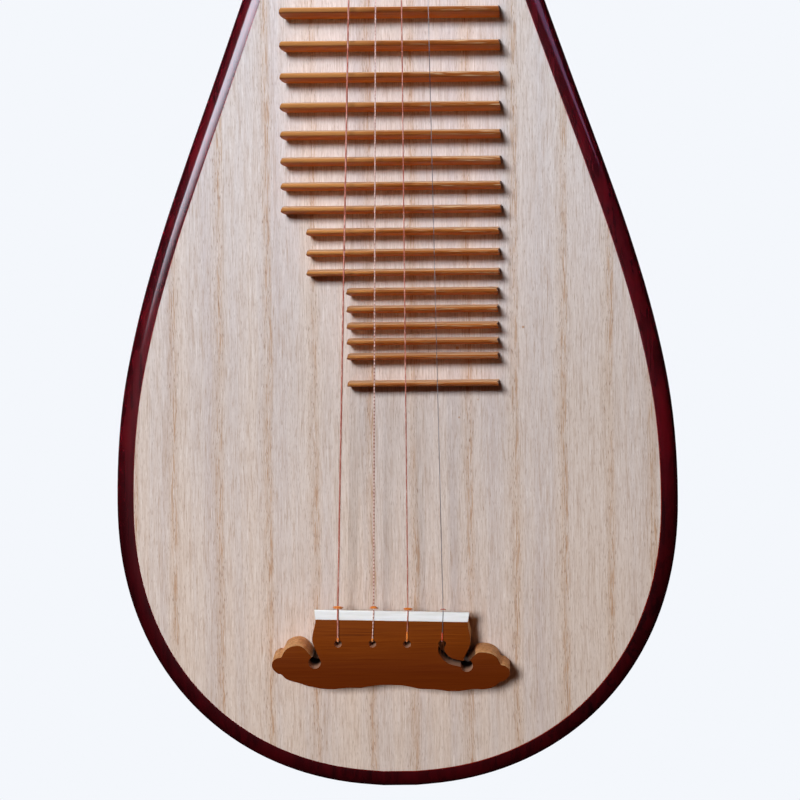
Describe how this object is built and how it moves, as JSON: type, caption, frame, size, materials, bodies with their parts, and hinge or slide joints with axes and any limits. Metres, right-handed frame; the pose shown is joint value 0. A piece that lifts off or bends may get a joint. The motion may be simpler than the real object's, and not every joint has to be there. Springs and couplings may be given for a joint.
{
  "type": "pipa",
  "caption": "Pear-shaped four-stringed plucked lute with a pale soundboard in a dark lacquered back, bamboo frets, scroll bridge and bent-back pegbox with friction pegs.",
  "frame": {"origin": "on the small flat at the tail, midway across the body, in the plane that divides left from right", "axes": "+Z along the strings from the tail to the head, -Y out of the soundboard towards the player's right hand, +X to the right when the soundboard is seen from the front"},
  "size_m": [0.305, 0.0955, 1.0286],
  "materials": {
    "lacquer": "dark maroon high-gloss lacquer over hardwood",
    "soundboard_wood": "bare pale paulownia with fine straight grain",
    "bamboo": "satin varnished bamboo",
    "bamboo_dark": "dark stained bamboo, satin",
    "bone": "polished white bone",
    "horn": "polished pale horn",
    "peg_wood": "polished dark hardwood",
    "brace_wood": "bare softwood",
    "wound_string": "copper-rose winding over a steel core",
    "steel_string": "plain drawn steel"
  },
  "bodies": {
    "body": {"back_shell": "lacquer", "soundboard": "soundboard_wood", "xiang_1": "horn", "xiang_2": "horn", "xiang_3": "horn", "xiang_4": "horn", "xiang_5": "horn", "xiang_6": "horn", "phoenix_pillow": "horn", "nut": "bone", "pin_01": "bamboo", "pin_02": "bamboo", "pin_03": "bamboo", "pin_04": "bamboo", "pin_05": "bamboo", "pin_06": "bamboo", "pin_07": "bamboo", "pin_08": "bamboo", "pin_09": "bamboo", "pin_10": "bamboo", "pin_11": "bamboo", "pin_12": "bamboo", "pin_13": "bamboo", "pin_14": "bamboo", "pin_15": "bamboo", "pin_16": "bamboo", "pin_17": "bamboo", "pin_18": "bamboo", "pin_19": "bamboo", "pin_20": "bamboo", "pin_21": "bamboo", "pin_22": "bamboo", "pin_23": "bamboo", "bridge": "bamboo_dark", "bridge_saddle": "bone", "brace_1": "brace_wood", "brace_2": "brace_wood", "brace_3": "brace_wood", "sound_post_1": "brace_wood", "sound_post_2": "brace_wood", "pegbox": "lacquer", "head_finial": "lacquer", "finial_inlay": "bone", "string_1": "wound_string", "string_2": "wound_string", "string_3": "wound_string", "string_4": "steel_string"},
    "tuning_peg_1": {"peg_1": "peg_wood", "peg_cap_1": "bone", "string_winding_1": "wound_string"},
    "tuning_peg_2": {"peg_2": "peg_wood", "peg_cap_2": "bone", "string_winding_4": "steel_string"},
    "tuning_peg_3": {"peg_3": "peg_wood", "peg_cap_3": "bone", "string_winding_2": "wound_string"},
    "tuning_peg_4": {"peg_4": "peg_wood", "peg_cap_4": "bone", "string_winding_3": "wound_string"}
  },
  "joints": [
    {"name": "peg_1_turn", "type": "hinge", "parent": "body", "child": "tuning_peg_1", "pos_m": [0, 0.00688, 0.86509], "axis": [1, 0, 0], "continuous": true},
    {"name": "peg_2_turn", "type": "hinge", "parent": "body", "child": "tuning_peg_2", "pos_m": [0, 0.01181, 0.89242], "axis": [1, 0, 0], "continuous": true},
    {"name": "peg_3_turn", "type": "hinge", "parent": "body", "child": "tuning_peg_3", "pos_m": [0, 0.02002, 0.91905], "axis": [1, 0, 0], "continuous": true},
    {"name": "peg_4_turn", "type": "hinge", "parent": "body", "child": "tuning_peg_4", "pos_m": [0, 0.02913, 0.94552], "axis": [1, 0, 0], "continuous": true}
  ]
}
